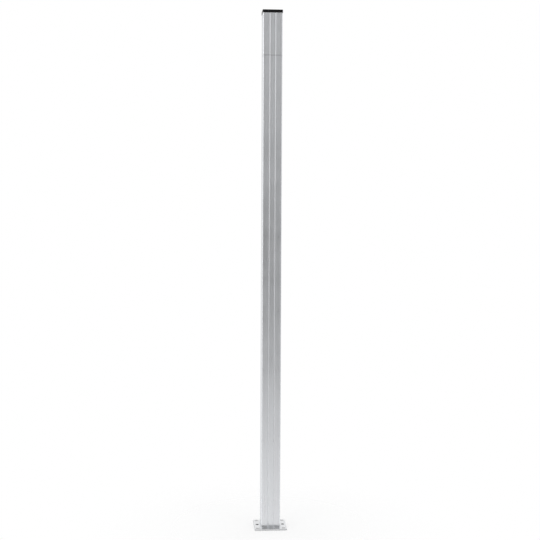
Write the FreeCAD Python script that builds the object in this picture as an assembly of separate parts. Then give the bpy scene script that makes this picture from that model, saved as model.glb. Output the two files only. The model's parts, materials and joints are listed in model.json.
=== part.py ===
import FreeCAD, Part
import math
import os

# A 60 mm square aluminium fence post on a bolt-down plate, in millimetres.
# The origin is the middle of the plate's underside. +Z is up and -Y is the front.

# Heights
HEIGHT = 1600.0              # underside of the plate to the top of the cap
UPPER_LENGTH = 127.0         # short length of post between the joint line and the cap
JOINT_GAP = 0.8              # open line left between the two lengths of post

# Post section
POST_WIDTH = 60.0            # outside, each way
POST_CORNER_R = 3.0
POST_WALL = 2.0

# Two fine grooves along each face, with a rib behind each that keeps the wall whole
GROOVE_SPACING = 17.4        # between the middles of the two grooves of a face
GROOVE_WIDTH = 3.5
GROOVE_DEPTH = 1.0
GROOVE_BOTTOM_R = 0.5
RIB_WALL = 1.8               # metal behind the bottom of a groove
RIB_CREST = 2.4              # width of the flat crest of a rib

# Open-sided screw port in each corner of the post
PORT_INSET = 6.0             # middle of the port from the outer faces
PORT_BORE = 5.5
PORT_WALL = 1.8
PORT_MOUTH = 2.6             # width of the slot towards the middle of the post

# Clearance of everything that slides into the post
SLIDE_FIT = 0.25

# Spigot that joins the two lengths
SLEEVE_WALL = 2.5
SLEEVE_TO_PLUG = 20.0        # free length between the spigot and the plug of the cap

# Base plate
PLATE_LEDGE = 20.0           # how far the plate stands out from each face of the post
PLATE_THICKNESS = 5.0
PLATE_CORNER_R = 4.0
PLATE_EDGE_BREAK = 0.4
HOLE_INSET = 10.0            # middle of a fixing hole from the edge of the plate
SIDE_HOLE_D = 10.0
CORNER_HOLE_D = 6.6
CORNER_SINK_D = 12.6

# Screws from below, through the plate into the ports
BASE_SCREW_HEAD_D = 12.0
BASE_SCREW_CORE_D = 5.3
BASE_SCREW_LENGTH = 30.0
BASE_SCREW_SOCKET = 4.0
BASE_SCREW_RECESS = 0.3      # how far the head lies below the face that it is sunk in
BASE_SCREW_HOLE_D = 6.6

# Screws through the rear face into the spigot
JOINT_SCREW_HEAD_D = 7.6
JOINT_SCREW_CORE_D = 3.9
JOINT_SCREW_LENGTH = 14.0
JOINT_SCREW_SOCKET = 2.5
JOINT_SCREW_RECESS = 0.1
JOINT_SCREW_HOLE_D = 4.5
JOINT_SCREW_PILOT_D = 4.1    # hole in the spigot

# Depth of a screw's hexagon socket and length of its bevelled point
SOCKET_DEPTH = 1.8
POINT_BEVEL = 1.0

# Plastic cap
CAP_HEIGHT = 9.0             # head of the cap above the end of the post
CAP_OVERHANG = 0.9           # how far the head stands out from each face
CAP_WALL = 2.4
CAP_EDGE_R = 0.5
PLUG_DEPTH = 20.0
PLUG_WALL = 2.0
FIN_REACH = 1.2              # how far the gripping fins stand out from the plug
FIN_THICKNESS = 1.0
FIN_PITCH = 5.0
FIN_COUNT = 3
WEB_THICKNESS = 1.6          # webs that tie the plug to the rim of the head

# Derived places
HALF = POST_WIDTH / 2
INNER_HALF = HALF - POST_WALL
RIB_DEPTH = GROOVE_DEPTH + RIB_WALL
RIB_FOOT = RIB_CREST + 2 * (RIB_DEPTH - POST_WALL)
PORT_CENTRE = HALF - PORT_INSET
PORT_OUTER_R = PORT_BORE / 2 + PORT_WALL
PLATE_TOP = PLATE_THICKNESS
POST_END = HEIGHT - CAP_HEIGHT
UPPER_START = POST_END - UPPER_LENGTH
LOWER_END = UPPER_START - JOINT_GAP
JOINT_MIDDLE = (UPPER_START + LOWER_END) / 2
SLEEVE_REACH = UPPER_LENGTH - PLUG_DEPTH - SLEEVE_TO_PLUG
PLATE_HALF = HALF + PLATE_LEDGE
HOLE_PLACE = PLATE_HALF - HOLE_INSET

CORNERS = [(1, 1), (-1, 1), (-1, -1), (1, -1)]
UP = FreeCAD.Vector(0, 0, 1)
ORIGIN = FreeCAD.Vector(0, 0, 0)
EXTRA = 1.0                  # how far a cutting tool runs past the faces it cuts


def point(x, y, z=0.0):
    return FreeCAD.Vector(x, y, z)


def line(start, end):
    return Part.LineSegment(point(*start), point(*end)).toShape()


def arc(start, middle, end):
    return Part.Arc(point(*start), point(*middle), point(*end)).toShape()


def four_sides(side_edges):
    """One closed outline from the edges of the front side, turned round to the other three."""
    edges = []
    for quarter in range(4):
        for edge in side_edges:
            turned = edge.copy()
            turned.rotate(ORIGIN, UP, 90 * quarter)
            edges.append(turned)
    return Part.Face(Part.Wire(edges))


def corner_arc(half, radius):
    """Round corner between the front side and the right side of a square outline."""
    bend = half - radius
    slant = radius * math.sqrt(0.5)
    return arc((bend, -half), (bend + slant, -bend - slant), (half, -bend))


def groove_edges(centre):
    """A V groove with a round bottom, cut into the front side at x = centre."""
    mouth = GROOVE_WIDTH / 2
    arc_depth = GROOVE_DEPTH - GROOVE_BOTTOM_R
    to_arc = math.hypot(mouth, arc_depth)
    flank = math.sqrt(to_arc**2 - GROOVE_BOTTOM_R**2)
    slope = math.atan2(arc_depth, mouth) + math.asin(GROOVE_BOTTOM_R / to_arc)
    foot_x = mouth - flank * math.cos(slope)
    foot_y = -HALF + flank * math.sin(slope)
    left = (centre - foot_x, foot_y)
    right = (centre + foot_x, foot_y)
    return [
        line((centre - mouth, -HALF), left),
        arc(left, (centre, -HALF + GROOVE_DEPTH), right),
        line(right, (centre + mouth, -HALF)),
    ]


def rib_edges(centre):
    """The rib behind a groove, on the inside of the front wall at x = centre."""
    foot = RIB_FOOT / 2
    crest = RIB_CREST / 2
    crest_y = -HALF + RIB_DEPTH
    return [
        line((centre - foot, -INNER_HALF), (centre - crest, crest_y)),
        line((centre - crest, crest_y), (centre + crest, crest_y)),
        line((centre + crest, crest_y), (centre + foot, -INNER_HALF)),
    ]


def grooved_square(half, radius, feature_edges, feature_width):
    """Square outline with the same two features on each side, such as grooves or ribs."""
    place = GROOVE_SPACING / 2
    reach = feature_width / 2
    return four_sides(
        [line((radius - half, -half), (-place - reach, -half))]
        + feature_edges(-place)
        + [line((-place + reach, -half), (place - reach, -half))]
        + feature_edges(place)
        + [line((place + reach, -half), (half - radius, -half)), corner_arc(half, radius)]
    )


def rounded_square(half, radius):
    return four_sides([line((radius - half, -half), (half - radius, -half)), corner_arc(half, radius)])


def slide_outline(clearance, keyed):
    """Outline that passes down the inside of the post, clear of its ribs and ports.

    A keyed outline also has a pad on each side, which runs between the two ribs.
    """
    flat = HALF - RIB_DEPTH - clearance
    bevel = 2 * PORT_CENTRE - math.sqrt(2) * (PORT_OUTER_R + clearance) - flat
    side = [(-bevel, -flat), (bevel, -flat)]
    if keyed:
        pad = (GROOVE_SPACING - RIB_FOOT) / 2 - clearance
        pad_face = INNER_HALF - clearance
        side[1:1] = [(-pad, -flat), (-pad, -pad_face), (pad, -pad_face), (pad, -flat)]
    side.append((flat, -bevel))
    return four_sides([line(a, b) for a, b in zip(side, side[1:])])


def lift(face, bottom, top):
    """Solid of a flat outline between two heights."""
    solid = face.copy()
    solid.translate(point(0, 0, bottom))
    return solid.extrude(point(0, 0, top - bottom))


def screw_port(x_side, y_side, bottom, top):
    """C-shaped ring in one corner, with its slot towards the middle of the post."""
    centre = point(x_side * PORT_CENTRE, y_side * PORT_CENTRE, bottom)
    length = top - bottom
    ring = Part.makeCylinder(PORT_OUTER_R, length, centre)
    ring = ring.cut(Part.makeCylinder(PORT_BORE / 2, length, centre))
    slot = Part.makeBox(PORT_OUTER_R + EXTRA, PORT_MOUTH, length, point(0, -PORT_MOUTH / 2, 0))
    slot.rotate(ORIGIN, UP, math.degrees(math.atan2(-y_side, -x_side)))
    slot.translate(centre)
    return ring.cut(slot)


def post_length(bottom, top):
    """A sawn length of the post extrusion. Its inner corners are round about the ports' middles."""
    outside = grooved_square(HALF, POST_CORNER_R, groove_edges, GROOVE_WIDTH)
    inside = grooved_square(INNER_HALF, INNER_HALF - PORT_CENTRE, rib_edges, RIB_FOOT)
    tube = lift(outside, bottom, top).cut(lift(inside, bottom, top))
    ports = [screw_port(x, y, bottom, top) for x, y in CORNERS]
    return tube.fuse(ports).removeSplitter().Solids[0]


def sunk_hole(hole_d, sink_d, depth, place, direction):
    """Cutting tool for a 90 degree countersunk hole that starts at place and runs along direction."""
    bore = Part.makeCylinder(hole_d / 2, depth + EXTRA, place, direction)
    sink_depth = (sink_d - hole_d) / 2
    start = place - direction * EXTRA
    sink = Part.makeCone(sink_d / 2 + EXTRA, hole_d / 2, sink_depth + EXTRA, start, direction)
    return bore.fuse(sink)


def hexagon_prism(across_flats, depth):
    reach = across_flats / math.sqrt(3)
    corners = [
        point(reach * math.cos(math.radians(60 * k)), reach * math.sin(math.radians(60 * k)))
        for k in range(7)
    ]
    return Part.Face(Part.makePolygon(corners)).extrude(point(0, 0, depth))


def sunk_screw(head_d, core_d, length, socket):
    """Countersunk screw with its head at the origin and its point up."""
    head_r = head_d / 2
    core_r = core_d / 2
    outline = [
        point(0, 0, 0),
        point(head_r, 0, 0),
        point(core_r, 0, head_r - core_r),
        point(core_r, 0, length - POINT_BEVEL),
        point(core_r - POINT_BEVEL, 0, length),
        point(0, 0, length),
        point(0, 0, 0),
    ]
    body = Part.Face(Part.makePolygon(outline)).revolve(ORIGIN, UP, 360)
    return body.cut(hexagon_prism(socket, SOCKET_DEPTH))


def joint_screw_heights():
    """One screw at the middle of the spigot's reach into each length of post."""
    return [JOINT_MIDDLE - SLEEVE_REACH / 2, JOINT_MIDDLE + SLEEVE_REACH / 2]


def rear_hole(height):
    """Countersunk clearance hole for a joint screw, in the rear face of the post."""
    sink_d = JOINT_SCREW_HEAD_D + 2 * JOINT_SCREW_RECESS
    return sunk_hole(JOINT_SCREW_HOLE_D, sink_d, POST_WALL, point(0, HALF, height), point(0, -1, 0))


def lower_post():
    return post_length(PLATE_TOP, LOWER_END).cut(rear_hole(joint_screw_heights()[0]))


def upper_post():
    return post_length(UPPER_START, POST_END).cut(rear_hole(joint_screw_heights()[1]))


def joint_sleeve():
    """Keyed spigot, with a pilot hole in its rear wall for each joint screw."""
    bottom = JOINT_MIDDLE - SLEEVE_REACH
    top = JOINT_MIDDLE + SLEEVE_REACH
    sleeve = lift(slide_outline(SLIDE_FIT, True), bottom, top)
    sleeve = sleeve.cut(lift(slide_outline(SLIDE_FIT + SLEEVE_WALL, False), bottom, top))
    for height in joint_screw_heights():
        pilot = Part.makeCylinder(JOINT_SCREW_PILOT_D / 2, HALF, point(0, 0, height), point(0, 1, 0))
        sleeve = sleeve.cut(pilot)
    return sleeve


def joint_screws():
    screws = []
    for height in joint_screw_heights():
        screw = sunk_screw(JOINT_SCREW_HEAD_D, JOINT_SCREW_CORE_D, JOINT_SCREW_LENGTH, JOINT_SCREW_SOCKET)
        screw.rotate(ORIGIN, point(1, 0, 0), 90)
        screw.translate(point(0, HALF - JOINT_SCREW_RECESS, height))
        screws.append(screw)
    return Part.makeCompound(screws)


def base_plate():
    """Flat plate with its fixing holes, and holes from below for the screws into the ports."""
    plate = lift(rounded_square(PLATE_HALF, PLATE_CORNER_R), 0, PLATE_TOP)
    rims = [e for e in plate.Edges if abs(e.BoundBox.ZMax - e.BoundBox.ZMin) < PLATE_EDGE_BREAK]
    plate = plate.makeChamfer(PLATE_EDGE_BREAK, rims)
    down = point(0, 0, -1)
    for side in (-1, 1):
        place = point(side * HOLE_PLACE, 0, -EXTRA)
        plate = plate.cut(Part.makeCylinder(SIDE_HOLE_D / 2, PLATE_THICKNESS + 2 * EXTRA, place))
    port_sink_d = BASE_SCREW_HEAD_D + 2 * BASE_SCREW_RECESS
    for x, y in CORNERS:
        corner = point(x * HOLE_PLACE, y * HOLE_PLACE, PLATE_TOP)
        plate = plate.cut(sunk_hole(CORNER_HOLE_D, CORNER_SINK_D, PLATE_THICKNESS, corner, down))
        below = point(x * PORT_CENTRE, y * PORT_CENTRE, 0)
        plate = plate.cut(sunk_hole(BASE_SCREW_HOLE_D, port_sink_d, PLATE_THICKNESS, below, UP))
    return plate


def base_screws():
    screws = []
    for x, y in CORNERS:
        screw = sunk_screw(BASE_SCREW_HEAD_D, BASE_SCREW_CORE_D, BASE_SCREW_LENGTH, BASE_SCREW_SOCKET)
        screw.translate(point(x * PORT_CENTRE, y * PORT_CENTRE, BASE_SCREW_RECESS))
        screws.append(screw)
    return Part.makeCompound(screws)


def cap_head():
    """Hollow head of the cap, with its top edges rounded. Its rim sits on the end of the post."""
    half = HALF + CAP_OVERHANG
    radius = POST_CORNER_R + CAP_OVERHANG
    head = lift(rounded_square(half, radius), POST_END, HEIGHT)
    top_edges = [e for e in head.Edges if e.BoundBox.ZMin > HEIGHT - CAP_EDGE_R]
    head = head.makeFillet(CAP_EDGE_R, top_edges)
    hollow = rounded_square(half - CAP_WALL, radius - CAP_WALL)
    return head.cut(lift(hollow, POST_END, HEIGHT - CAP_WALL))


def cap_plug():
    """Tube below the head that pushes into the post, with fins that bear on the post's ribs."""
    bottom = POST_END - PLUG_DEPTH
    under_top = HEIGHT - CAP_WALL
    body = slide_outline(SLIDE_FIT + FIN_REACH, False)
    bore = slide_outline(SLIDE_FIT + FIN_REACH + PLUG_WALL, False)
    plug = lift(body, bottom, under_top)
    fins = []
    for k in range(FIN_COUNT):
        fin_bottom = bottom + (k + 0.5) * FIN_PITCH
        fins.append(lift(slide_outline(SLIDE_FIT, True), fin_bottom, fin_bottom + FIN_THICKNESS))
    plug = plug.fuse(fins)
    return plug.cut(lift(bore, bottom, under_top))


def cap_webs():
    """Webs in the head between the plug and the rim, in line with the middle of each side."""
    webs = []
    start = HALF - RIB_DEPTH - SLIDE_FIT - FIN_REACH - PLUG_WALL / 2
    for quarter in range(4):
        web = Part.makeBox(
            HALF - start,
            WEB_THICKNESS,
            CAP_HEIGHT - CAP_WALL,
            point(start, -WEB_THICKNESS / 2, POST_END),
        )
        web.rotate(ORIGIN, UP, 90 * quarter)
        webs.append(web)
    return webs


def top_cap():
    return cap_head().fuse([cap_plug()] + cap_webs()).removeSplitter().Solids[0]


def main():
    pieces = {
        "base_plate": base_plate(),
        "base_screws": base_screws(),
        "lower_post": lower_post(),
        "upper_post": upper_post(),
        "joint_sleeve": joint_sleeve(),
        "joint_screws": joint_screws(),
        "top_cap": top_cap(),
    }
    os.makedirs("parts", exist_ok=True)
    for name, shape in pieces.items():
        shape.exportStep(f"parts/{name}.step")
        box = shape.BoundBox
        print(f"{name}: {len(shape.Solids)} solids, {shape.Volume / 1000:.2f} cm3, "
              f"{box.XLength:.2f} x {box.YLength:.2f} x {box.ZLength:.2f} mm")


main()
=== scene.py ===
import json
import math

import bpy
from mathutils import Matrix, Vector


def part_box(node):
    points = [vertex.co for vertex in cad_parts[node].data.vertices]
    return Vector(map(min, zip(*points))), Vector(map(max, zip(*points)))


# The fixed frame, and its box before anything is added
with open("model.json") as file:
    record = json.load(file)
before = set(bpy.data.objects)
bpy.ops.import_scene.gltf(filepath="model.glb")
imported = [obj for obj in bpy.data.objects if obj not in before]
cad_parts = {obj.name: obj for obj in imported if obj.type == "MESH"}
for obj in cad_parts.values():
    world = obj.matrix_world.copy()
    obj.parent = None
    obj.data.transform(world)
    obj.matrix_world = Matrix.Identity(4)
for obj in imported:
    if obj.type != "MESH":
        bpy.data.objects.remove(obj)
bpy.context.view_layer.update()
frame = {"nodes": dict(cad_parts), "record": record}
nodes = frame["nodes"]

MM = 0.001

# Camera, in metres and degrees: a little left of the post's middle, at chest height
CAMERA_PLACE = (-0.235, -3.268, 1.029)
CAMERA_TURN = 4.058          # to the right of +Y
CAMERA_DIP = 3.853           # below the horizon
CAMERA_ROLL = 0.258
CAMERA_LENS = 70.58          # in millimetres, as the sensor is
CAMERA_SENSOR = 36.0

# Light: soft from all round, and from one square lamp overhead
ROOM_LIGHT = 0.48            # where 1 alone would show white as white
LAMP_HEIGHT = 3.2            # in metres, as its size is
LAMP_SIZE = 2.0
LAMP_POWER = 58.0            # in watts

# What metal mirrors of the studio's sides: (degrees round from the front, brightness), right positive
STUDIO_AROUND = [
    (-180, 0.98), (-163, 0.95), (-148, 0.80), (-130, 0.69), (-110, 1.02), (-92, 1.05),
    (-76, 1.05), (-66, 0.55), (-54, 0.52), (-44, 1.12), (-33, 2.00), (-20, 2.10),
    (20, 0.20), (33, 0.94), (46, 0.76), (58, 0.36), (72, 0.36), (84, 1.20),
    (96, 1.15), (112, 1.15), (130, 0.62), (148, 0.65), (163, 0.95), (180, 0.98),
]
# How the sides change with height: (degrees above the horizon, share of their brightness)
STUDIO_RISE = [
    (-60, 0.45), (-40, 0.50), (-27, 0.68), (-17, 1.00), (-7, 0.78),
    (0, 0.99), (9, 1.42), (20, 1.15), (40, 0.80), (60, 0.90),
]
# The darker front of the studio, behind the camera: (degrees above the horizon, brightness)
STUDIO_FRONT = [
    (-60, 0.50), (-35, 0.65), (-23, 1.15), (-17, 1.20), (-12, 0.61), (-8, 0.14), (-4, 0.19),
    (1, 0.00), (5, 0.61), (10, 0.41), (14, 0.27), (20, 0.16), (50, 0.22),
]
STUDIO_CEILING = 1.0

# Soft steps in degrees, each from where a thing has no share to where it has its full share
FRONT_EDGE = (27, 11)        # round from the front, for the front
RISE_EDGE = (90, 70)         # round from the front, for the sides' change with height
LOW_EDGE = (-9, -16)         # above the horizon, for the front's brightness on the sides, low down
BACK_EDGE = (155, 125)       # round from the front, for the same, so that it leaves out the back
LOW_SHARE = 0.75             # its full share there
CEILING_EDGE = (50, 70)      # above the horizon, for the ceiling

# Floor: white close to the post, and fading into the white of the background
FLOOR_HALF = 1.0
FLOOR_COLOUR = 0.98
FLOOR_SHARE = 0.40           # how much of the floor's own tone shows beside the post
FLOOR_FADE = (0.10, 0.60)    # distance from the post's middle, in metres

# Sizes in millimetres that the frame gives
mount_dims = {mount["name"]: mount["dims"] for mount in frame["record"]["mounts"]}
HOLE_PLACE = mount_dims["anchor_corners"]["spacing_x_mm"] / 2
SIDE_HOLE_R = mount_dims["anchor_sides"]["hole_r_mm"]
POST_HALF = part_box("lower_post")[1].x / MM

# Sizes in millimetres that repeat those of the part's source
POST_CORNER_R = 3.0
CORNER_SINK_R = 6.3
BASE_SCREW_HEAD_R = 6.0
JOINT_SCREW_HEAD_R = 3.8
BASE_SCREW_SHANK_R = 2.65
JOINT_SCREW_SHANK_R = 1.95

# Thread pitches in millimetres
BASE_SCREW_PITCH = 1.8
JOINT_SCREW_PITCH = 1.4

# Base colours
POST_ALUMINIUM = (0.764, 0.777, 0.796)
PLATE_ALUMINIUM = (0.772, 0.780, 0.793)
# the joint's sleeve, seen only through the gap, painted dark as shade
SHADED_SLEEVE_ALUMINIUM = (0.33, 0.33, 0.335)
SHADED_END_BETWEEN_MARKS = (0.22, 0.22, 0.223)         # sawn ends of the extrusions, painted dark as shade for the joint's gap, between the saw's marks and on them
SHADED_END_ON_MARKS = (0.34, 0.34, 0.343)
SAWN_ALUMINIUM = (0.36, 0.36, 0.365)
WARM_TINT = (1.004, 0.994, 0.998)      # faint change of hue from band to band of a drawn surface
COOL_TINT = (0.990, 1.004, 1.006)
BLACK_PLASTIC = (0.0125, 0.0123, 0.0133)
STAINLESS = (0.50, 0.495, 0.485)

# Grey levels of holes, the side holes' walls painted near black as shade, and painted shade for places
# that little light reaches
CORNER_HOLE_GREY = 0.62      # walls of the plate's corner holes, with their countersinks
SIDE_HOLE_PAINTED_SHADE = 0.08        # walls of its side holes, painted near black as shade
PLATE_PAINTED_SHADE_GREY = 0.06       # painted shade where little light reaches the plate, as in its holes and at the post's foot
SCREW_PAINTED_SHADE_GREY = 0.05       # painted shade where little light reaches a screw, as in its socket

# Roughness of the parts of a surface that differ from the rest of it
END_ROUGHNESS = 0.48         # sawn ends of the extrusions
DRILLED_ROUGHNESS = 0.42     # walls of the plate's holes
CAP_SIDE_ROUGHNESS = 0.14
CAP_TOP_ROUGHNESS = 0.33     # and its underside

# Numbers of the sockets of a Mix node, which has several of one name
MIX_VALUE_INPUTS = (0, 2, 3)           # share, first and second
MIX_COLOUR_INPUTS = (0, 6, 7)
MIX_VALUE_OUTPUT = 0
MIX_COLOUR_OUTPUT = 2


# Node helpers

def feed(tree, socket, value):
    """Gives an input its value, or joins it to the socket that drives it."""
    if isinstance(value, bpy.types.NodeSocket):
        tree.links.new(value, socket)
    else:
        socket.default_value = value


def add(tree, kind, feeds=None, **settings):
    """A shader node. feeds gives an input, by name or number, its value or the socket that drives it."""
    node = tree.nodes.new(kind)
    for name, value in settings.items():
        setattr(node, name, value)
    for name, value in (feeds or {}).items():
        feed(tree, node.inputs[name], value)
    return node


def math_of(tree, operation, *values, clamp=False):
    """The result of one arithmetic step on values and sockets."""
    feeds = dict(enumerate(values))
    return add(tree, "ShaderNodeMath", feeds, operation=operation, use_clamp=clamp).outputs[0]


def rescale(tree, value, low, high, to_low=0.0, to_high=1.0, smooth=False):
    """value taken from the range low..high to another range, and held inside it."""
    kind = "SMOOTHSTEP" if smooth else "LINEAR"
    feeds = {"Value": value, "From Min": low, "From Max": high, "To Min": to_low, "To Max": to_high}
    return add(tree, "ShaderNodeMapRange", feeds, interpolation_type=kind).outputs["Result"]


def opaque(colour):
    return (*colour, 1.0)


def grey(level):
    return (level, level, level, 1.0)


def mix_values(tree, share, first, second):
    feeds = dict(zip(MIX_VALUE_INPUTS, (share, first, second)))
    return add(tree, "ShaderNodeMix", feeds, data_type="FLOAT").outputs[MIX_VALUE_OUTPUT]


def mix_colours(tree, share, first, second, blend="MIX"):
    """Two colours mixed, each a socket or an RGBA value."""
    feeds = dict(zip(MIX_COLOUR_INPUTS, (share, first, second)))
    mixed = add(tree, "ShaderNodeMix", feeds, data_type="RGBA", blend_type=blend)
    return mixed.outputs[MIX_COLOUR_OUTPUT]


def multiply(tree, first, second):
    """Two colours multiplied. A value counts as a grey."""
    return mix_colours(tree, 1.0, first, second, "MULTIPLY")


def vector_of(tree, operation, first, second=None):
    """The outputs of one step of vector arithmetic, Vector and Value."""
    feeds = {0: first} if second is None else {0: first, 1: second}
    return add(tree, "ShaderNodeVectorMath", feeds, operation=operation).outputs


def axes_of(tree, vector):
    """The X, Y and Z of a vector."""
    return add(tree, "ShaderNodeSeparateXYZ", {0: vector}).outputs


def noise(tree, place, scale, detail=2.0, distortion=0.0):
    """Soft noise about 0.5 over a place in millimetres. scale is in features for each millimetre."""
    feeds = {"Vector": place, "Scale": scale, "Detail": detail, "Distortion": distortion}
    return add(tree, "ShaderNodeTexNoise", feeds).outputs["Fac"]


def ramp_of(tree, value, stops):
    """Brightness that follows (place, level) stops in a smooth line. The ramp itself runs from 0 to 1."""
    node = add(tree, "ShaderNodeValToRGB", {"Fac": value})
    ramp = node.color_ramp
    ramp.interpolation = "B_SPLINE"
    peak = max(level for _, level in stops)
    for _ in stops[2:]:
        ramp.elements.new(0.5)
    for element, (place, level) in zip(ramp.elements, stops):
        element.position = place
        element.color = grey(level / peak)
    return multiply(tree, node.outputs["Color"], grey(peak))


# Effects that the materials share

def new_group(name, inputs, outputs):
    """An empty node group. Its sockets take values, apart from Place and Stretch, which take vectors."""
    tree = bpy.data.node_groups.new(name, "ShaderNodeTree")
    for direction, sockets in (("INPUT", inputs), ("OUTPUT", outputs)):
        for socket in sockets:
            kind = "NodeSocketVector" if socket in ("Place", "Stretch") else "NodeSocketFloat"
            tree.interface.new_socket(socket, in_out=direction, socket_type=kind)
    start = tree.nodes.new("NodeGroupInput")
    end = tree.nodes.new("NodeGroupOutput")
    return tree, start.outputs, end.inputs


def use_group(tree, group, **feeds):
    """A shared effect placed in a material. An underscore in a feed's name stands for a space."""
    node = tree.nodes.new("ShaderNodeGroup")
    node.node_tree = group
    for name, value in feeds.items():
        feed(tree, node.inputs[name.replace("_", " ")], value)
    return node.outputs


def make_die_lines():
    """Fine lines and broader bands drawn out along one direction, as a die or a roll leaves them."""
    inputs = ["Place", "Stretch", "Line Width", "Band Width"]
    tree, given, result = new_group("die_lines", inputs, ["Lines", "Bands"])
    drawn = vector_of(tree, "MULTIPLY", given["Place"], given["Stretch"])["Vector"]
    line_scale = math_of(tree, "DIVIDE", 1.0, given["Line Width"])
    band_scale = math_of(tree, "DIVIDE", 1.0, given["Band Width"])
    tree.links.new(noise(tree, drawn, line_scale, detail=3.0), result["Lines"])
    tree.links.new(noise(tree, drawn, band_scale, detail=1.0), result["Bands"])
    return tree


def make_cloudiness():
    """Soft patches, as handling and anodising leave them, between 0 and 1."""
    tree, given, result = new_group("cloudiness", ["Place", "Patch Size"], ["Patches"])
    scale = math_of(tree, "DIVIDE", 1.0, given["Patch Size"])
    patches = noise(tree, given["Place"], scale, detail=4.0, distortion=0.6)
    tree.links.new(rescale(tree, patches, low=0.3, high=0.7), result["Patches"])
    return tree


def make_scratches():
    """Sparse hairline scratches in two slanting directions."""
    slants = ((0.45, 0.45, 0.35), (-0.8, -0.8, 0.2))
    drawn_out = (1.0, 1.0, 0.02)
    patch_scale = 0.02
    tree, given, result = new_group("hairline_scratches", ["Place", "Width", "Amount"], ["Scratches"])
    scale = math_of(tree, "DIVIDE", 1.0, given["Width"])
    threshold = math_of(tree, "SUBTRACT", 1.0, given["Amount"])
    where = rescale(tree, noise(tree, given["Place"], patch_scale), low=0.5, high=0.62)
    scratches = 0.0
    for slant in slants:
        turned = add(tree, "ShaderNodeMapping", {"Vector": given["Place"], "Rotation": slant})
        drawn = vector_of(tree, "MULTIPLY", turned.outputs["Vector"], drawn_out)["Vector"]
        hair = rescale(tree, noise(tree, drawn, scale, detail=0.0), threshold, 1.0)
        scratches = math_of(tree, "MULTIPLY_ADD", hair, where, scratches, clamp=True)
    tree.links.new(scratches, result["Scratches"])
    return tree


def make_edge_wear():
    """Mask of a thin, slightly broken line along every edge, which the materials lighten as wear and as a
    painted highlight.
    """
    tree, given, result = new_group("edge_wear", ["Place", "Radius", "Breakup Size"], ["Edges"])
    rounded = add(tree, "ShaderNodeBevel", {"Radius": given["Radius"]}, samples=6).outputs["Normal"]
    true = add(tree, "ShaderNodeNewGeometry").outputs["True Normal"]
    alike = vector_of(tree, "DOT_PRODUCT", rounded, true)["Value"]
    edge = rescale(tree, alike, low=0.995, high=0.85)
    scale = math_of(tree, "DIVIDE", 1.0, given["Breakup Size"])
    patches = noise(tree, given["Place"], scale, detail=3.0)
    broken = rescale(tree, patches, low=0.3, high=0.55, to_low=0.45)
    tree.links.new(math_of(tree, "MULTIPLY", edge, broken), result["Edges"])
    return tree


def waves(tree, turns):
    """0 to 1 and back, once for each whole turn."""
    wave = math_of(tree, "SINE", math_of(tree, "MULTIPLY", turns, math.tau))
    return rescale(tree, wave, low=-1.0, high=1.0)


def distance_of(tree, across, other):
    """Length of the line from zero to a place given by two coordinates."""
    square = math_of(tree, "MULTIPLY", other, other)
    return math_of(tree, "SQRT", math_of(tree, "MULTIPLY_ADD", across, across, square))


def make_saw_marks():
    """The slightly curved marks that a circular saw leaves on a cut face."""
    side_share = 0.4             # of the blade's radius, by which its centre lies off to one side
    wobble_scale = 0.4
    wobble = 2.5                 # in marks
    tree, given, result = new_group("saw_marks", ["Place", "Blade Radius", "Mark Pitch"], ["Marks"])
    place = axes_of(tree, given["Place"])
    across = math_of(tree, "ADD", place["X"], given["Blade Radius"])
    side = math_of(tree, "MULTIPLY", side_share, given["Blade Radius"])
    reach = distance_of(tree, across, math_of(tree, "SUBTRACT", place["Y"], side))
    turns = math_of(tree, "DIVIDE", reach, given["Mark Pitch"])
    uneven = math_of(tree, "MULTIPLY_ADD", noise(tree, given["Place"], wobble_scale), wobble, turns)
    tree.links.new(waves(tree, uneven), result["Marks"])
    return tree


def make_turned_rings():
    """Fine rings about an axis, as a drill or a lathe leaves them, from the distance to the axis."""
    wobble_scale = 1.5
    wobble = 0.8                 # in rings
    tree, given, result = new_group("turned_rings", ["Place", "Distance", "Ring Pitch"], ["Rings"])
    turns = math_of(tree, "DIVIDE", given["Distance"], given["Ring Pitch"])
    uneven = math_of(tree, "MULTIPLY_ADD", noise(tree, given["Place"], wobble_scale), wobble, turns)
    tree.links.new(waves(tree, uneven), result["Rings"])
    return tree


def make_hollows():
    """Mask of the places that little light reaches, such as holes, sockets and inner corners, where the
    materials paint shade.
    """
    tree, given, result = new_group("hollows", ["Reach"], ["Hollows"])
    open_sky = add(tree, "ShaderNodeAmbientOcclusion", {"Distance": given["Reach"]}, samples=8)
    tree.links.new(rescale(tree, open_sky.outputs["AO"], low=0.85, high=0.2), result["Hollows"])
    return tree


def make_screw_thread():
    """Height of a thread that winds about an axis."""
    tree, given, result = new_group("screw_thread", ["Angle", "Along", "Pitch"], ["Thread"])
    turns = math_of(tree, "DIVIDE", given["Along"], given["Pitch"])
    wound = math_of(tree, "ADD", turns, math_of(tree, "DIVIDE", given["Angle"], math.tau))
    ridge = math_of(tree, "PINGPONG", wound, 0.5)
    tree.links.new(rescale(tree, ridge, low=0.0, high=0.5), result["Thread"])
    return tree


DIE_LINES = make_die_lines()
CLOUDINESS = make_cloudiness()
SCRATCHES = make_scratches()
EDGE_WEAR_AND_HIGHLIGHT = make_edge_wear()
SAW_MARKS = make_saw_marks()
TURNED_RINGS = make_turned_rings()
HOLLOWS = make_hollows()
SCREW_THREAD = make_screw_thread()


# Materials

def new_material(name, metallic, **constants):
    """A material with its Principled BSDF. Values that are the same all over are set on the shader."""
    material = bpy.data.materials.new(name)
    material.use_nodes = True
    tree = material.node_tree
    shader = tree.nodes["Principled BSDF"]
    shader.inputs["Metallic"].default_value = metallic
    for socket, value in constants.items():
        shader.inputs[socket.replace("_", " ")].default_value = value
    return material, tree, shader.inputs


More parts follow.
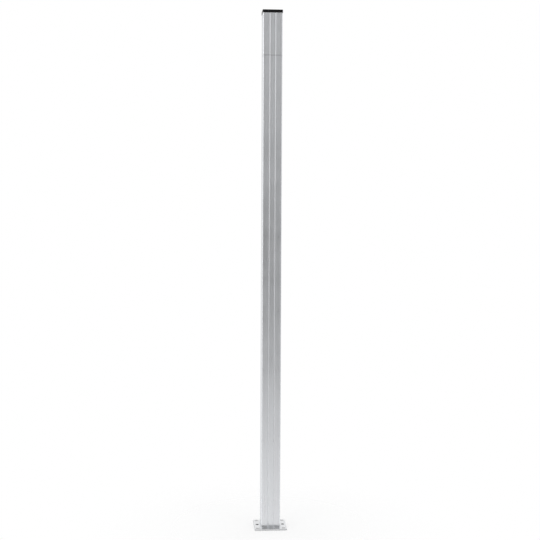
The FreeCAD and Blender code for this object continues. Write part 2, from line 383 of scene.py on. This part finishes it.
def place_in_mm(tree):
    """Place on the part in millimetres."""
    coordinates = add(tree, "ShaderNodeTexCoord").outputs["Object"]
    scaled = add(tree, "ShaderNodeVectorMath", {0: coordinates, "Scale": 1 / MM}, operation="SCALE")
    return scaled.outputs["Vector"]


def facing(tree, axis, least=0.85, full=0.95):
    """Mask of the faces that look up or down the given axis."""
    normal = add(tree, "ShaderNodeNewGeometry").outputs["True Normal"]
    return rescale(tree, math_of(tree, "ABSOLUTE", axes_of(tree, normal)[axis]), least, full)


def sum_of(tree, base, *parts):
    """base plus each mask times its amount. parts are (mask, amount) pairs."""
    total = base
    for mask, amount in parts:
        total = math_of(tree, "MULTIPLY_ADD", mask, amount, total)
    return total


def finish_surface(tree, inputs, colour, roughness, height, depth):
    """Joins colour, roughness and a height map of the given depth in millimetres to the shader."""
    tree.links.new(colour, inputs["Base Color"])
    tree.links.new(roughness, inputs["Roughness"])
    bump = add(tree, "ShaderNodeBump", {"Height": height, "Distance": depth * MM})
    tree.links.new(bump.outputs["Normal"], inputs["Normal"])


def lengthwise_tangent(tree, inputs, axis):
    """Turns a metal's gloss so that it spreads across the lines that run along axis."""
    tangent = add(tree, "ShaderNodeTangent", direction_type="RADIAL", axis=axis)
    tree.links.new(tangent.outputs["Tangent"], inputs["Tangent"])


def corner_polish_and_highlight(tree, place):
    """Mask of the post's four rounded corners, which handling polishes and where the colour is lightened
    as a painted highlight.
    """
    axes = axes_of(tree, place)
    x_size = math_of(tree, "ABSOLUTE", axes["X"])
    y_size = math_of(tree, "ABSOLUTE", axes["Y"])
    least = math_of(tree, "MINIMUM", x_size, y_size)
    start = POST_HALF - POST_CORNER_R
    return rescale(tree, least, low=start - 0.2, high=start + 0.4, smooth=True)


def extruded_finish(name, colour, roughness):
    """Satin extrusion with die lines up its sides, its rounded corners lightened as a painted highlight,
    and saw marks on its cut ends, which are painted dark as shade.
    """
    material, tree, inputs = new_material(name, 1.0, Anisotropic=0.55)
    place = place_in_mm(tree)
    along_z = (1.0, 1.0, 0.004)
    drawn = use_group(tree, DIE_LINES, Place=place, Stretch=along_z, Line_Width=0.45, Band_Width=3.2)
    lines = drawn["Lines"]
    bands = drawn["Bands"]
    clouds = use_group(tree, CLOUDINESS, Place=place, Patch_Size=70.0)["Patches"]
    scratches = use_group(tree, SCRATCHES, Place=place, Width=0.35, Amount=0.22)["Scratches"]
    edges = use_group(tree, EDGE_WEAR_AND_HIGHLIGHT, Place=place, Radius=0.35 * MM, Breakup_Size=2.5)["Edges"]
    saw = use_group(tree, SAW_MARKS, Place=place, Blade_Radius=150.0, Mark_Pitch=0.9)["Marks"]
    hue = rescale(tree, bands, low=0.3, high=0.7)
    cut = facing(tree, "Z")
    corners = corner_polish_and_highlight(tree, place)
    # The rounded corners' colour is lightened as a painted highlight.
    shade = sum_of(tree, 0.845, (bands, 0.13), (lines, 0.16), (clouds, 0.02), (edges, 0.05),
                   (scratches, -0.04), (corners, 0.05))
    tinted = mix_colours(tree, hue, opaque(WARM_TINT), opaque(COOL_TINT))
    sides = multiply(tree, multiply(tree, opaque(colour), tinted), shade)
    # The cut ends are painted dark as shade for the joint's gap.
    shaded_ends = mix_colours(tree, saw, opaque(SHADED_END_BETWEEN_MARKS), opaque(SHADED_END_ON_MARKS))
    surface = mix_colours(tree, cut, sides, shaded_ends)
    side_roughness = sum_of(tree, roughness - 0.07, (bands, 0.04), (lines, 0.06), (clouds, 0.04),
                            (scratches, 0.10), (edges, -0.05), (corners, -0.05))
    both_roughness = mix_values(tree, cut, side_roughness, END_ROUGHNESS)
    side_height = sum_of(tree, lines, (scratches, -0.4))
    height = mix_values(tree, cut, side_height, saw)
    finish_surface(tree, inputs, surface, both_roughness, height, depth=0.06)
    lengthwise_tangent(tree, inputs, "Z")
    return material


def drilled_places(tree, place):
    """Masks of the holes' own surfaces and of the side holes, and the distance to the nearest axis."""
    axes = axes_of(tree, place)
    x_off = math_of(tree, "SUBTRACT", math_of(tree, "ABSOLUTE", axes["X"]), HOLE_PLACE)
    y_size = math_of(tree, "ABSOLUTE", axes["Y"])
    y_off = math_of(tree, "SUBTRACT", y_size, HOLE_PLACE)
    to_side = distance_of(tree, y_size, x_off)
    to_corner = distance_of(tree, y_off, x_off)
    spare = 0.02                 # keeps the walls themselves inside the masks
    in_side = math_of(tree, "LESS_THAN", to_side, SIDE_HOLE_R + spare)
    in_corner = math_of(tree, "LESS_THAN", to_corner, CORNER_SINK_R + spare)
    near = math_of(tree, "MAXIMUM", in_side, in_corner)
    upright = math_of(tree, "SUBTRACT", 1.0, facing(tree, "Z"))
    drilled = math_of(tree, "MULTIPLY", near, upright)
    return drilled, in_side, math_of(tree, "MINIMUM", to_side, to_corner)


def plate_finish():
    """Rolled flat with sawn sides, drilled and countersunk, with painted shade on its front and back
    edges, on its side holes' walls and in its hollows.
    """
    material, tree, inputs = new_material("drilled_flat_aluminium", 1.0, Anisotropic=0.35)
    place = place_in_mm(tree)
    along_x = (0.01, 1.0, 1.0)
    drawn = use_group(tree, DIE_LINES, Place=place, Stretch=along_x, Line_Width=0.5, Band_Width=5.0)
    lines = drawn["Lines"]
    bands = drawn["Bands"]
    clouds = use_group(tree, CLOUDINESS, Place=place, Patch_Size=28.0)["Patches"]
    scratches = use_group(tree, SCRATCHES, Place=place, Width=0.35, Amount=0.25)["Scratches"]
    edges = use_group(tree, EDGE_WEAR_AND_HIGHLIGHT, Place=place, Radius=0.4 * MM, Breakup_Size=2.0)["Edges"]
    saw = use_group(tree, SAW_MARKS, Place=place, Blade_Radius=150.0, Mark_Pitch=0.8)["Marks"]
    hollows = use_group(tree, HOLLOWS, Reach=4.0 * MM)["Hollows"]
    drilled, in_side, distance = drilled_places(tree, place)
    rings = use_group(tree, TURNED_RINGS, Place=place, Distance=distance, Ring_Pitch=0.35)["Rings"]
    sawn = facing(tree, "X", least=0.2, full=0.7)
    # The front and back edges are painted darker as shade.
    painted_edge_shade = facing(tree, "Y", least=0.6, full=0.9)
    shade = sum_of(tree, 0.935, (bands, 0.12), (lines, 0.09), (clouds, 0.04), (edges, 0.05),
                   (scratches, -0.06), (painted_edge_shade, -0.135))
    rolled = multiply(tree, opaque(PLATE_ALUMINIUM), shade)
    sawn_share = math_of(tree, "MULTIPLY", sawn, 0.6)
    with_sides = mix_colours(tree, sawn_share, rolled, opaque(SAWN_ALUMINIUM))
    # The side holes' walls are painted near black as shade.
    walls = mix_colours(tree, in_side, grey(CORNER_HOLE_GREY), grey(SIDE_HOLE_PAINTED_SHADE))
    with_holes = mix_colours(tree, drilled, with_sides, walls)
    # The plate's hollows, its side holes most, are painted darker as shade.
    painted_shade_share = mix_values(tree, in_side, first=0.15, second=0.75)
    painted_shade = math_of(tree, "MULTIPLY", hollows, painted_shade_share)
    surface = mix_colours(tree, painted_shade, with_holes, grey(PLATE_PAINTED_SHADE_GREY))
    flat_roughness = sum_of(tree, 0.22, (bands, 0.08), (lines, 0.08), (clouds, 0.07),
                            (scratches, 0.1), (sawn, 0.12))
    both_roughness = mix_values(tree, drilled, flat_roughness, DRILLED_ROUGHNESS)
    saw_height = math_of(tree, "MULTIPLY", saw, sawn)
    flat_height = sum_of(tree, lines, (scratches, -0.8), (saw_height, 0.9))
    height = mix_values(tree, drilled, flat_height, rings)
    finish_surface(tree, inputs, surface, both_roughness, height, depth=0.05)
    lengthwise_tangent(tree, inputs, "X")
    return material


def cap_finish():
    """Black moulded plastic with a fine satin texture and slightly polished edges, lightened as wear and
    as a painted highlight.
    """
    material, tree, inputs = new_material("black_moulded_plastic", 0.0, Specular_IOR_Level=0.18)
    place = place_in_mm(tree)
    texture = noise(tree, place, scale=1.3, detail=4.0)
    clouds = use_group(tree, CLOUDINESS, Place=place, Patch_Size=14.0)["Patches"]
    scratches = use_group(tree, SCRATCHES, Place=place, Width=0.3, Amount=0.2)["Scratches"]
    edges = use_group(tree, EDGE_WEAR_AND_HIGHLIGHT, Place=place, Radius=0.5 * MM, Breakup_Size=1.6)["Edges"]
    shade = sum_of(tree, 0.7, (clouds, 0.3), (texture, 0.2), (edges, 0.5), (scratches, 1.0))
    surface = multiply(tree, opaque(BLACK_PLASTIC), shade)
    plain = mix_values(tree, facing(tree, "Z"), CAP_SIDE_ROUGHNESS, CAP_TOP_ROUGHNESS)
    roughness = sum_of(tree, plain, (clouds, 0.10), (texture, 0.16), (edges, -0.06), (scratches, 0.12))
    height = sum_of(tree, texture, (scratches, -0.6))
    finish_surface(tree, inputs, surface, roughness, height, depth=0.10)
    return material


def about_axis(tree, across, other, along):
    """Distance from an axis, angle about it and place along it, from three coordinates about it."""
    return distance_of(tree, across, other), math_of(tree, "ARCTAN2", other, across), along


def nearest_of_two(tree, value, place):
    """value about the nearer of two places at equal distance each side of zero."""
    offset = math_of(tree, "MULTIPLY", math_of(tree, "SIGN", value), place)
    return math_of(tree, "SUBTRACT", value, offset)


def base_screw_places(tree, place):
    """The four base screws point up, in a square."""
    axes = axes_of(tree, place)
    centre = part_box("base_screws")[1].x / MM - BASE_SCREW_HEAD_R
    across = nearest_of_two(tree, axes["X"], centre)
    other = nearest_of_two(tree, axes["Y"], centre)
    return about_axis(tree, across, other, axes["Z"])


def joint_screw_places(tree, place):
    """The two joint screws point to the front, one above the other."""
    axes = axes_of(tree, place)
    low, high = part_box("joint_screws")
    from_middle = math_of(tree, "SUBTRACT", axes["Z"], (low.z + high.z) / 2 / MM)
    other = nearest_of_two(tree, from_middle, (high.z - low.z) / 2 / MM - JOINT_SCREW_HEAD_R)
    return about_axis(tree, axes["X"], other, axes["Y"])


def screw_finish(name, places, shank_r, pitch):
    """Turned stainless steel with its socket painted dark as shade, and a thread on the shank.

    places makes the distance from the axis, the angle about it and the place along it.
    """
    material, tree, inputs = new_material(name, 1.0, Anisotropic=0.4)
    place = place_in_mm(tree)
    distance, angle, along = places(tree, place)
    clouds = use_group(tree, CLOUDINESS, Place=place, Patch_Size=3.0)["Patches"]
    edges = use_group(tree, EDGE_WEAR_AND_HIGHLIGHT, Place=place, Radius=0.15 * MM, Breakup_Size=0.8)["Edges"]
    hollows = use_group(tree, HOLLOWS, Reach=2.0 * MM)["Hollows"]
    rings = use_group(tree, TURNED_RINGS, Place=place, Distance=distance, Ring_Pitch=0.22)["Rings"]
    turns = use_group(tree, SCREW_THREAD, Angle=angle, Along=along, Pitch=pitch)["Thread"]
    spare = 0.05                 # keeps the shank's own surface inside the mask
    shank = math_of(tree, "LESS_THAN", distance, shank_r + spare)
    shade = sum_of(tree, 0.86, (clouds, 0.10), (edges, 0.14), (rings, 0.08))
    steel = multiply(tree, opaque(STAINLESS), shade)
    # The screw's hollows are painted darker as shade.
    painted_shade = math_of(tree, "MULTIPLY", hollows, 0.7)
    surface = mix_colours(tree, painted_shade, steel, grey(SCREW_PAINTED_SHADE_GREY))
    roughness = sum_of(tree, 0.20, (clouds, 0.10), (rings, 0.06), (hollows, 0.2))
    ring_height = math_of(tree, "MULTIPLY", rings, 0.05)
    height = mix_values(tree, shank, ring_height, turns)
    finish_surface(tree, inputs, surface, roughness, height, depth=0.4)
    return material


def dress(node, material):
    slots = nodes[node].data.materials
    slots.clear()
    slots.append(material)


def dress_part():
    satin = extruded_finish("satin_extruded_aluminium", POST_ALUMINIUM, roughness=0.30)
    # The sleeve's dark colour is painted shade.
    shaded_sleeve_finish = extruded_finish("raw_extruded_aluminium", SHADED_SLEEVE_ALUMINIUM, roughness=0.45)
    dress("lower_post", satin)
    dress("upper_post", satin)
    dress("joint_sleeve", shaded_sleeve_finish)
    dress("base_plate", plate_finish())
    dress("top_cap", cap_finish())
    dress("base_screws", screw_finish("base_screw_steel", base_screw_places,
                                      BASE_SCREW_SHANK_R, BASE_SCREW_PITCH))
    dress("joint_screws", screw_finish("joint_screw_steel", joint_screw_places,
                                       JOINT_SCREW_SHANK_R, JOINT_SCREW_PITCH))


# Studio

def make_camera():
    camera = bpy.data.objects.new("camera", bpy.data.cameras.new("camera"))
    bpy.context.scene.collection.objects.link(camera)
    turn = Matrix.Rotation(math.radians(-CAMERA_TURN), 4, "Z")
    dip = Matrix.Rotation(math.radians(90 - CAMERA_DIP), 4, "X")
    roll = Matrix.Rotation(math.radians(CAMERA_ROLL), 4, "Z")
    camera.matrix_world = Matrix.Translation(CAMERA_PLACE) @ turn @ dip @ roll
    camera.data.sensor_width = CAMERA_SENSOR
    camera.data.lens = CAMERA_LENS
    bpy.context.scene.camera = camera


def level_by_angle(tree, angle, stops):
    """Brightness that follows (degrees, level) stops along an angle in radians."""
    lowest, highest = stops[0][0], stops[-1][0]
    share = rescale(tree, angle, math.radians(lowest), math.radians(highest))
    places = [((degrees - lowest) / (highest - lowest), level) for degrees, level in stops]
    return ramp_of(tree, share, places)


def soft_step(tree, angle, edge, whole=1.0):
    """0 to whole along an angle in radians, between the two angles of edge in degrees."""
    start, end = (math.radians(degrees) for degrees in edge)
    return rescale(tree, angle, start, end, to_high=whole, smooth=True)


def mirrored_studio(tree):
    """The soft studio that metal mirrors: sides, a darker front behind the camera, and a ceiling."""
    direction = axes_of(tree, add(tree, "ShaderNodeTexCoord").outputs["Generated"])
    forward = math_of(tree, "MULTIPLY", direction["Y"], -1.0)
    round_angle = math_of(tree, "ARCTAN2", direction["X"], forward)
    off_front = math_of(tree, "ABSOLUTE", round_angle)
    rise = math_of(tree, "ARCSINE", direction["Z"])
    around = level_by_angle(tree, round_angle, STUDIO_AROUND)
    beside = soft_step(tree, off_front, RISE_EDGE)
    sides = mix_colours(tree, beside, around, level_by_angle(tree, rise, STUDIO_RISE), "MULTIPLY")
    front = level_by_angle(tree, rise, STUDIO_FRONT)
    in_front = soft_step(tree, off_front, FRONT_EDGE)
    low = soft_step(tree, rise, LOW_EDGE, LOW_SHARE)
    low_sides = math_of(tree, "MULTIPLY", low, soft_step(tree, off_front, BACK_EDGE))
    walls = mix_colours(tree, math_of(tree, "MAXIMUM", in_front, low_sides), sides, front)
    return mix_colours(tree, soft_step(tree, rise, CEILING_EDGE), walls, grey(STUDIO_CEILING))


def make_world():
    """White to the camera, a plain level to matt surfaces and a soft studio to metal."""
    world = bpy.data.worlds.new("studio")
    bpy.context.scene.world = world
    world.use_nodes = True
    world.cycles.sampling_method = "NONE"
    tree = world.node_tree
    tree.nodes.clear()
    studio = mirrored_studio(tree)
    path = add(tree, "ShaderNodeLightPath").outputs
    mirrored = math_of(tree, "MAXIMUM", path["Is Glossy Ray"], path["Is Transmission Ray"])
    unseen = mix_colours(tree, mirrored, grey(ROOM_LIGHT), studio)
    colour = mix_colours(tree, path["Is Camera Ray"], unseen, grey(1.0))
    background = add(tree, "ShaderNodeBackground", {"Color": colour})
    add(tree, "ShaderNodeOutputWorld", {"Surface": background.outputs["Background"]})


def make_lamp():
    light = bpy.data.lights.new("overhead_softbox", "AREA")
    light.shape = "SQUARE"
    light.size = LAMP_SIZE
    light.energy = LAMP_POWER
    lamp = bpy.data.objects.new("overhead_softbox", light)
    lamp.location = (0, 0, LAMP_HEIGHT)
    lamp.visible_glossy = False
    lamp.visible_camera = False
    bpy.context.scene.collection.objects.link(lamp)


def floor_finish():
    """Matt white that turns clear away from the post."""
    material = bpy.data.materials.new("pale_floor")
    material.use_nodes = True
    tree = material.node_tree
    tree.nodes.clear()
    matt = add(tree, "ShaderNodeBsdfDiffuse", {"Color": grey(FLOOR_COLOUR)})
    clear = add(tree, "ShaderNodeBsdfTransparent")
    position = add(tree, "ShaderNodeNewGeometry").outputs["Position"]
    distance = vector_of(tree, "LENGTH", position)["Value"]
    share = rescale(tree, distance, *FLOOR_FADE, to_low=FLOOR_SHARE, to_high=0.0, smooth=True)
    feeds = {0: share, 1: clear.outputs["BSDF"], 2: matt.outputs["BSDF"]}
    surface = add(tree, "ShaderNodeMixShader", feeds)
    add(tree, "ShaderNodeOutputMaterial", {"Surface": surface.outputs["Shader"]})
    return material


def make_floor():
    """Pale matt floor that takes the post's soft shadow and fades out into the background."""
    mesh = bpy.data.meshes.new("floor")
    corners = [(x * FLOOR_HALF, y * FLOOR_HALF, 0) for x, y in ((-1, -1), (1, -1), (1, 1), (-1, 1))]
    mesh.from_pydata(corners, [], [(0, 1, 2, 3)])
    floor = bpy.data.objects.new("floor", mesh)
    bpy.context.scene.collection.objects.link(floor)
    mesh.materials.append(floor_finish())


dress_part()
make_camera()
make_world()
make_lamp()
make_floor()
bpy.context.scene.view_settings.view_transform = "Standard"
